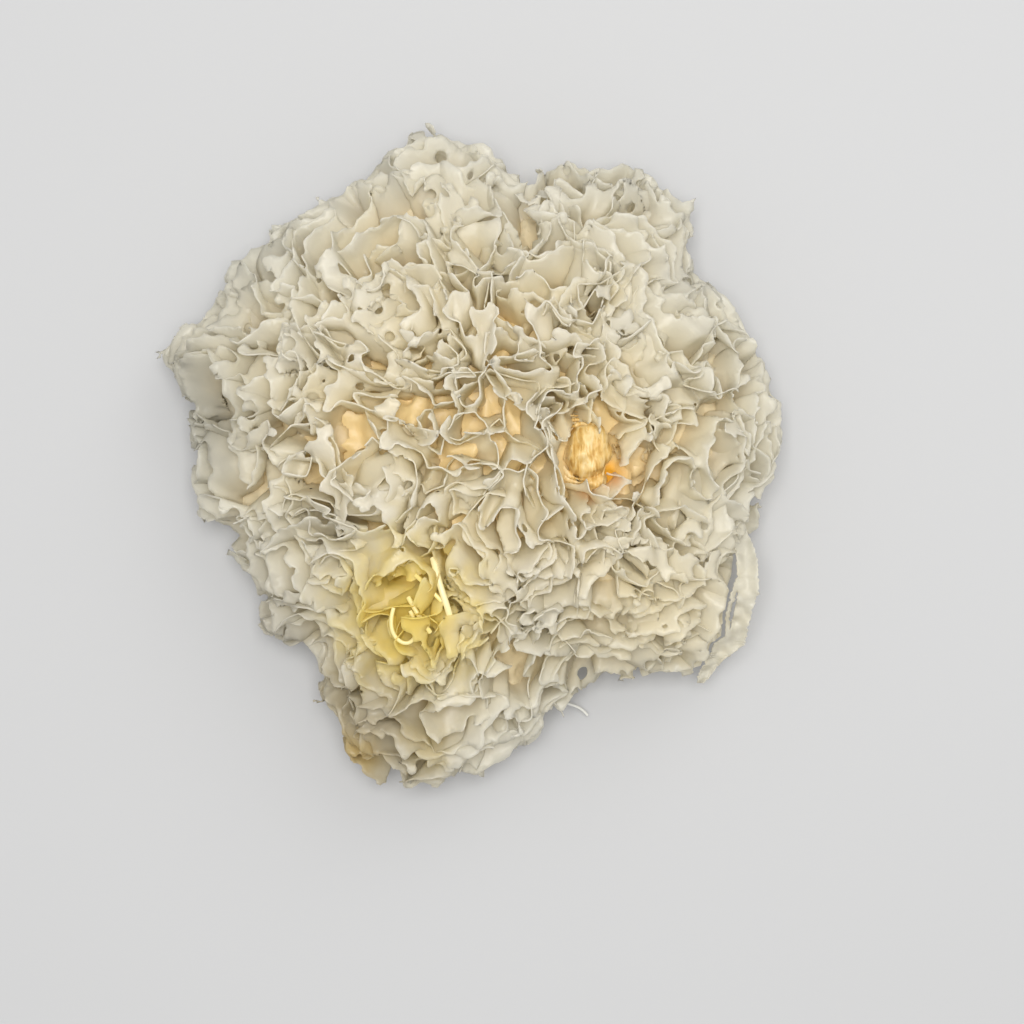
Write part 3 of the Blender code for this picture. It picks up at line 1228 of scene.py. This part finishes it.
@dataclass
class Fronds:
    """All fronds: the membranes and the heart, thinned, thickened and shared out to the CAD's nodes."""

    growth: Growth = field(default_factory=Growth)
    finish: FleshFinish = field(default_factory=FleshFinish)
    membrane_thickness: float = 0.00030
    membrane_share: float = 0.50
    heart_share: float = 0.16
    margin_slack: float = 3.0

    def build(self) -> None:
        """Grow, finish and hand over every frond."""
        sheets = []
        for family in self.growth.families:
            sheet = self.growth.membranes(family)
            log.info("%s membranes: %d quads", family.name, len(sheet.quads))
            sheets.append(self.as_object(family.name, sheet, self.membrane_share))
        heart = self.as_object("heart", self.growth.heart(), self.heart_share)
        for sheet in sheets:
            thicken(sheet, self.membrane_thickness)
        self.share_out(sheets, heart)

    def as_object(self, name: str, sheet: Sheet, kept: float) -> bpy.types.Object:
        """Make a sheet an object, with fewer faces where it is flat.

        Args:
            name: The object's name.
            sheet: The sheet.
            kept: Share of the triangles to keep.

        Returns:
            The object.
        """
        sizes = np.full(len(sheet.quads), 4)
        piece = mesh_object(name, sheet.places * MM, sheet.quads.ravel(), sizes)
        thin = piece.modifiers.new("thinned", "DECIMATE")
        thin.ratio = kept
        apply_modifiers(piece)
        return piece

    def mark_depth(self, piece: bpy.types.Object) -> None:
        """Store how deep and how far out each vertex lies, for the finish.

        Args:
            piece: The piece.
        """
        depths = self.growth.form.depths(read(piece.data.vertices, "co", 3, np.float32) / MM)
        behind = depths.inside + self.margin_slack
        mark_vertices(piece, depth=np.minimum(depths.under, behind), share=depths.share)

    def share_out(self, sheets: list[bpy.types.Object], heart: bpy.types.Object) -> None:
        """Cut all flesh up by the nearest CAD frond, and let each share stand for that frond.

        Args:
            sheets: The membranes. They are removed.
            heart: The thick flesh between them. It is removed.
        """
        names, tree, face_owner = self.frond_tree()
        parts: dict[str, list[tuple[np.ndarray, ...]]] = {name: [] for name in names}
        for piece in (*sheets, heart):
            mesh = piece.data
            places = read(mesh.vertices, "co", 3, np.float32)
            owner = face_owner[[tree.find_nearest(Vector(place))[2] for place in places.tolist()]]
            corners = read(mesh.loops, "vertex_index", 1, np.int32)
            starts = read(mesh.polygons, "loop_start", 1, np.int32)
            sizes = read(mesh.polygons, "loop_total", 1, np.int32)
            for number, name in enumerate(names):
                mine = owner[corners[starts]] == number
                used, inverse = np.unique(corners[np.repeat(mine, sizes)], return_inverse=True)
                parts[name].append((places[used], inverse, sizes[mine], np.full(mine.sum(), piece is heart)))
            bpy.data.objects.remove(piece)
        thin = {slot: self.finish.membrane(slot.value) for slot in Slot if slot is not Slot.AMBER}
        thick = self.finish.heart("thick_flesh")
        for name, shares in parts.items():
            self.put_together(name, shares, (thin[FROND_SLOTS[name]], thick))

    def put_together(
        self, name: str, shares: list[tuple[np.ndarray, ...]], materials: tuple[bpy.types.Material, ...]
    ) -> None:
        """Make one frond of its shares of the flesh, and hand it over.

        Args:
            name: The CAD frond that it stands for.
            shares: Vertex places, face corners, face sizes and material numbers of each share.
            materials: The materials of thin and of thick flesh.
        """
        places, corners, sizes, kinds = zip(*shares)
        offsets = np.cumsum([0] + [len(share) for share in places])
        corners = [share + offset for share, offset in zip(corners, offsets)]
        frond = mesh_object(
            f"{name}_folds", np.concatenate(places), np.concatenate(corners), np.concatenate(sizes)
        )
        self.mark_depth(frond)
        for material in materials:
            frond.data.materials.append(material)
        frond.data.polygons.foreach_set("material_index", np.concatenate(kinds).astype(np.int32))
        hand_over(frond, FROND_SLOTS[name], name)

    def frond_tree(self) -> tuple[list[str], BVHTree, np.ndarray]:
        """Make a search tree of all CAD fronds.

        Returns:
            The fronds' names, the tree, and the number of the frond that each of its faces belongs to.
        """
        names = list(FROND_SLOTS)
        places: list[Vector] = []
        faces: list[tuple[int, ...]] = []
        owners: list[int] = []
        for number, name in enumerate(names):
            mesh = bpy.data.objects[name].data
            offset = len(places)
            places += [vertex.co.copy() for vertex in mesh.vertices]
            faces += [tuple(offset + index for index in face.vertices) for face in mesh.polygons]
            owners += [number] * len(mesh.polygons)
        return names, BVHTree.FromPolygons(places, faces), np.array(owners)


def hand_over(piece: bpy.types.Object, slot: Slot, *nodes: str) -> None:
    """Let a finished piece ride on the body and stand for CAD nodes.

    Args:
        piece: The piece.
        slot: A material slot; not used.
        nodes: The CAD nodes.
    """
    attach(piece, BODY)
    if nodes:
        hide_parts(*nodes)
    log.info("%s: %d faces", piece.name, len(piece.data.polygons))


@dataclass(frozen=True)
class KnotFinish:
    """Firm amber flesh with fine fibres, paler on its left side."""

    dark: Colour = (0.52, 0.29, 0.07)
    middle: Colour = (0.68, 0.45, 0.15)
    pale: Colour = (0.80, 0.62, 0.32)
    left: Colour = (0.88, 0.78, 0.54)
    left_from: float = 0.0245
    left_to: float = 0.0205
    left_cover: float = 0.85
    stops: tuple[float, float, float] = (0.34, 0.48, 0.68)
    fibre_bend: float = 0.6
    fibre_scale: float = 1100.0
    fibre_shape: Place = (1.0, 0.22, 0.22)
    fibre_height: float = 0.0003
    roughness: float = 0.38

    def material(self, name: str) -> bpy.types.Material:
        """Build the material.

        Args:
            name: The material's name.

        Returns:
            The material.
        """
        paint = Paint(name, self.roughness)
        drawn = paint.node("Mapping", Vector=paint.place, Scale=self.fibre_shape)
        fibres = paint.node(
            "TexNoise", Vector=drawn.outputs["Vector"], Scale=self.fibre_scale, Detail=4.0,
            Distortion=self.fibre_bend,
        )
        colour = paint.ramp(fibres.outputs["Fac"], dict(zip(self.stops, (self.dark, self.middle, self.pale))))
        across = paint.node("SeparateXYZ", Vector=paint.place)
        share = paint.node(
            "MapRange", Value=across.outputs["X"], From_Min=self.left_from, From_Max=self.left_to,
            To_Max=self.left_cover,
        )
        paint.colour(paint.cover(colour, self.left, share.outputs["Result"]))
        paint.bump(fibres.outputs["Fac"], self.fibre_height)
        return paint.material


@dataclass
class Stub:
    """The amber knot that the head grew from, with growth ridges round its left side."""

    centre: Place = (0.0286, 0.0016, 0.0450)
    half_size: Place = (0.0056, 0.0070, 0.0062)
    foot: Place = (0.0300, -0.0058, 0.0425)
    foot_half_size: Place = (0.0036, 0.0038, 0.0050)
    ridges: int = 4
    ridge_step: float = 0.00095
    ridge_drop: float = 0.00072
    ridge_radius: float = 0.00042
    ridge_growth: float = 0.8
    ridge_offset: float = 0.0016
    ridge_drift: tuple[float, float] = (0.35, 0.2)
    ridge_tilt: float = -14.0
    ridge_turn: float = 6.0
    ridge_shape: Place = (0.92, 1.22, 1.0)
    ridge_segments: tuple[int, int] = (72, 10)
    segments: int = 48
    rings: int = 28
    lump_size: float = 0.0030
    lump_height: float = 0.0026
    finish: KnotFinish = field(default_factory=KnotFinish)

    def build(self) -> None:
        """Model the knot and hand it over."""
        parts = [self.lump(self.centre, self.half_size), self.lump(self.foot, self.foot_half_size)]
        for number in range(self.ridges):
            parts.append(self.ridge(number))
        clear_selection()
        for part in parts:
            part.select_set(True)
        bpy.context.view_layer.objects.active = parts[0]
        bpy.ops.object.join()
        knot = bpy.context.object
        knot.name = "knot"
        bpy.ops.object.transform_apply(location=True, rotation=True, scale=True)
        lumps = bpy.data.textures.new("knot_lumps", "CLOUDS")
        lumps.noise_scale = self.lump_size
        swell = knot.modifiers.new("lumps", "DISPLACE")
        swell.texture = lumps
        swell.texture_coords = "LOCAL"
        swell.strength = self.lump_height
        apply_modifiers(knot)
        bpy.ops.object.shade_smooth()
        knot.data.materials.clear()
        knot.data.materials.append(self.finish.material(Slot.AMBER.value))
        hand_over(knot, Slot.AMBER, "stub")

    def lump(self, place: Place, half: Place) -> bpy.types.Object:
        """Add a rounded lump.

        Args:
            place: Its middle.
            half: Its half sizes.

        Returns:
            The lump.
        """
        clear_selection()
        bpy.ops.mesh.primitive_uv_sphere_add(
            segments=self.segments, ring_count=self.rings, radius=1.0, location=place
        )
        bpy.context.object.scale = half
        return bpy.context.object

    def ridge(self, number: int) -> bpy.types.Object:
        """Add one growth ridge: a ring that is sunk into the knot, so that its left side shows.

        Args:
            number: Its place from the inside out.

        Returns:
            The ridge.
        """
        out = self.ridge_step * number
        x, y, z = self.centre
        clear_selection()
        bpy.ops.mesh.primitive_torus_add(
            major_segments=self.ridge_segments[0], minor_segments=self.ridge_segments[1],
            major_radius=self.half_size[0] + out * self.ridge_growth, minor_radius=self.ridge_radius,
            location=(
                x - self.ridge_offset - out * self.ridge_drift[0], y + out * self.ridge_drift[1],
                z + self.ridge_offset - self.ridge_drop * number,
            ),
            rotation=(0.0, math.radians(self.ridge_tilt), math.radians(self.ridge_turn * number)),
        )
        bpy.context.object.scale = self.ridge_shape
        return bpy.context.object


@dataclass
class HangingStrip:
    """The torn, cupped strip that hangs down the right margin, with a slit near its left edge."""

    rows: tuple[StripRow, ...] = STRIP_ROWS
    along: int = 150
    across: int = 22
    cup: float = 1.3
    ripple: float = 1.3
    tear: float = 0.7
    slit_rows: tuple[float, float] = (-33.0, -43.0)
    slit_at: float = 0.20
    slit_half: float = 0.07
    slit_least: float = 0.02
    tears: float = 55.0
    right_shift: float = 40.0
    ripple_length: float = 3.2
    depth: float = 0.5
    thickness: float = 0.00035

    def build(self, finish: FleshFinish) -> None:
        """Model the strip and hand it over.

        Args:
            finish: The flesh's finish.
        """
        rows = np.array([(row.y, row.left, row.right, row.z) for row in self.rows])
        length = np.arange(self.along + 1) / self.along
        y, left, right, z = (np.interp(length, np.linspace(0, 1, len(rows)), rows[:, n]) for n in range(4))
        jag = Noise(90)
        marks = np.stack((length * self.tears, length * 0.0, length * 0.0), axis=1)
        left = left + jag(marks) * self.tear
        right = right + jag(marks + self.right_shift) * self.tear
        width = np.arange(self.across + 1) / self.across
        side = width[None, :]
        x = left[:, None] * (1 - side) + right[:, None] * side
        raised = (2 * side - 1) ** 2 * self.cup
        places = np.stack((x, np.broadcast_to(y[:, None], x.shape), z[:, None] + raised), axis=-1)
        places[..., 2] += Noise(91)(places / self.ripple_length) * self.ripple
        number = np.arange(places.shape[0] * places.shape[1]).reshape(places.shape[:2])
        quads = np.stack((number[:-1, :-1], number[1:, :-1], number[1:, 1:], number[:-1, 1:]), axis=-1)
        middle = places[:-1, :-1, 1]
        top, bottom = self.slit_rows
        bulge = np.sin(np.clip((top - middle) / (top - bottom), 0, 1) * np.pi)
        near = np.abs(side[:, :-1] - self.slit_at) < self.slit_half * bulge + self.slit_least
        slit = (middle < top) & (middle > bottom) & near
        quads = quads[~slit]
        strip = mesh_object("torn_strip", places.reshape(-1, 3) * MM, quads.ravel(), np.full(len(quads), 4))
        thicken(strip, self.thickness)
        bpy.ops.object.mode_set(mode="EDIT")
        bpy.ops.mesh.select_all(action="SELECT")
        bpy.ops.mesh.delete_loose()
        bpy.ops.object.mode_set(mode="OBJECT")
        count = len(strip.data.vertices)
        # The strip gets the full painted grey margin shade, and a small depth that keeps it near the rim
        # colour.
        mark_vertices(strip, depth=np.full(count, self.depth), share=np.ones(count))
        strip.data.materials.append(finish.membrane("strip_flesh"))
        hand_over(strip, Slot.PALE, "hanging_strip")


@dataclass(frozen=True)
class Strand:
    """A loose strand.

    Attributes:
        name: Its name.
        path: Points along its middle, in millimetres.
        width: Its width in millimetres.
        flat: Its thickness as a share of its width.
        colour: Its colour.
    """

    name: str
    path: tuple[Place, ...]
    width: float
    flat: float
    colour: Colour


@dataclass
class Strands:
    """Loose strands: the ones that lie on the yellow patch, and a hair that curls from the lower margin."""

    strands: tuple[Strand, ...] = (
        Strand("long_strand", (
            (-9.0, -24.5, 50.0), (-7.6, -30.0, 51.6), (-5.6, -36.0, 51.4), (-4.2, -40.5, 50.4),
            (-4.9, -43.6, 49.2),
        ), 1.6, 0.45, (0.88, 0.77, 0.42)),
        Strand("side_strand", (
            (-13.2, -28.6, 49.6), (-10.0, -31.6, 50.8), (-7.4, -34.4, 51.0), (-5.0, -36.8, 50.6),
        ), 1.1, 0.45, (0.88, 0.73, 0.26)),
        Strand("short_strand", (
            (-15.0, -34.0, 49.8), (-13.0, -37.6, 50.6), (-11.0, -40.6, 50.2), (-9.8, -42.4, 49.4),
        ), 1.2, 0.45, (0.86, 0.72, 0.28)),
        Strand("curled_strand", (
            (-18.6, -36.5, 49.8), (-20.0, -41.0, 49.6), (-17.5, -45.4, 49.2), (-13.8, -45.4, 49.0),
            (-12.4, -41.6, 49.8), (-14.6, -37.2, 50.2),
        ), 1.0, 0.5, (0.86, 0.73, 0.32)),
        Strand("hair", (
            (19.0, -60.0, 14.0), (22.5, -62.5, 9.0), (26.0, -63.6, 5.0), (28.6, -64.8, 3.4),
            (30.0, -66.6, 2.6),
        ), 0.7, 0.8, (0.80, 0.79, 0.72)),
    )

    order: int = 4
    resolution: int = 12
    roundness: int = 4
    roughness: float = 0.32
    cloud_scale: float = 700.0
    cloud_shade: float = 0.82

    def build(self) -> None:
        """Model every strand and hand it over."""
        for strand in self.strands:
            self.lay(strand)

    def lay(self, strand: Strand) -> None:
        """Lay one strand.

        Args:
            strand: The strand.
        """
        clear_selection()
        bpy.ops.curve.primitive_nurbs_path_add()
        line = bpy.context.object
        line.name = strand.name
        curve = line.data
        curve.splines.clear()
        spline = curve.splines.new("NURBS")
        spline.points.add(len(strand.path) - 1)
        for point, (x, y, z) in zip(spline.points, strand.path):
            point.co = (x * MM, y * MM, z * MM / strand.flat, 1.0)
        spline.use_endpoint_u = True
        spline.order_u = self.order
        spline.resolution_u = self.resolution
        curve.bevel_depth = strand.width * MM / 2
        curve.bevel_resolution = self.roundness
        curve.use_fill_caps = True
        line.scale.z = strand.flat
        bpy.ops.object.convert(target="MESH")
        bpy.ops.object.transform_apply(location=True, rotation=True, scale=True)
        bpy.ops.object.shade_smooth()
        line = bpy.context.object
        line.data.materials.clear()
        line.data.materials.append(self.material(strand))
        hand_over(line, Slot.YELLOW)

    def material(self, strand: Strand) -> bpy.types.Material:
        """Milky flesh with faint cloudy streaks.

        Args:
            strand: The strand.

        Returns:
            The material.
        """
        paint = Paint(f"{strand.name}_flesh", self.roughness)
        clouds = paint.node("TexNoise", Vector=paint.place, Scale=self.cloud_scale, Detail=3.0)
        dim = tuple(part * self.cloud_shade for part in strand.colour)
        paint.colour(paint.ramp(clouds.outputs["Fac"], {0.0: dim, 1.0: strand.colour}))
        return paint.material


@dataclass(frozen=True)
class Lamp:
    """A soft square light that faces the head: its name, place and side in metres, and power in watts."""

    name: str
    place: Place
    size: float
    power: float


@dataclass
class Studio:
    """Plain pale floor, soft light and a camera that looks straight down as the photo does."""

    pixel: float = 0.0002516
    frame_pixels: int = 1024
    middle: tuple[float, float] = (0.0102, -0.0132)
    lens: float = 85.0
    sensor: float = 36.0
    plane_height: float = 0.030
    floor_size: float = 3.0
    floor_drop: float = 0.0002
    floor_grey: float = 0.50
    floor_roughness: float = 0.8
    sky: float = 0.56
    lamps: tuple[Lamp, ...] = (
        Lamp("top_light", (0.0, 0.05, 1.05), 0.45, 8.4),
        Lamp("side_light", (0.30, 0.45, 0.60), 0.5, 1.3),
    )
    light_bounces: int = 6

    def build(self) -> None:
        """Add floor, lights and camera, and set how far light is followed and how it is shown."""
        clear_selection()
        bpy.ops.mesh.primitive_plane_add(size=self.floor_size, location=(0.0, 0.0, -self.floor_drop))
        floor = bpy.context.object
        floor.name = "floor"
        paint = Paint("floor_paint", self.floor_roughness)
        paint.put(paint.shader.inputs["Base Color"], (*(self.floor_grey,) * 3, 1.0))
        floor.data.materials.append(paint.material)
        world = bpy.data.worlds.new("soft_sky")
        world.use_nodes = True
        background = world.node_tree.nodes["Background"]
        background.inputs["Color"].default_value = (1.0, 1.0, 1.0, 1.0)
        background.inputs["Strength"].default_value = self.sky
        bpy.context.scene.world = world
        for lamp in self.lamps:
            self.light(lamp)
        self.camera()
        bpy.context.scene.view_settings.view_transform = "Standard"
        bpy.context.scene.cycles.max_bounces = self.light_bounces

    def light(self, lamp: Lamp) -> None:
        """Add a light.

        Args:
            lamp: What it is like.
        """
        light = bpy.data.lights.new(lamp.name, "AREA")
        light.size = lamp.size
        light.energy = lamp.power
        piece = bpy.data.objects.new(lamp.name, light)
        bpy.context.scene.collection.objects.link(piece)
        piece.location = lamp.place
        aim = Vector((0.0, 0.0, self.plane_height)) - Vector(lamp.place)
        piece.rotation_euler = aim.to_track_quat("-Z", "Y").to_euler()

    def camera(self) -> None:
        """Add the camera, straight above, so that one pixel is as large as in the photo."""
        lens = bpy.data.cameras.new("view")
        lens.lens = self.lens
        lens.sensor_width = self.sensor
        distance = self.pixel * self.frame_pixels * self.lens / self.sensor
        camera = bpy.data.objects.new("view", lens)
        bpy.context.scene.collection.objects.link(camera)
        camera.location = (*self.middle, self.plane_height + distance)
        bpy.context.scene.camera = camera


def main() -> None:
    """Build the scene piece by piece."""
    logging.basicConfig(level=logging.INFO, format="%(name)s: %(message)s")
    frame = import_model()
    log.info("CAD nodes: %d", len(frame["nodes"]))
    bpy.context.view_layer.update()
    Studio().build()
    finish = FleshFinish()
    Stub().build()
    HangingStrip().build(finish)
    Strands().build()
    Fronds(finish=finish).build()


if __name__ == "__main__":
    main()
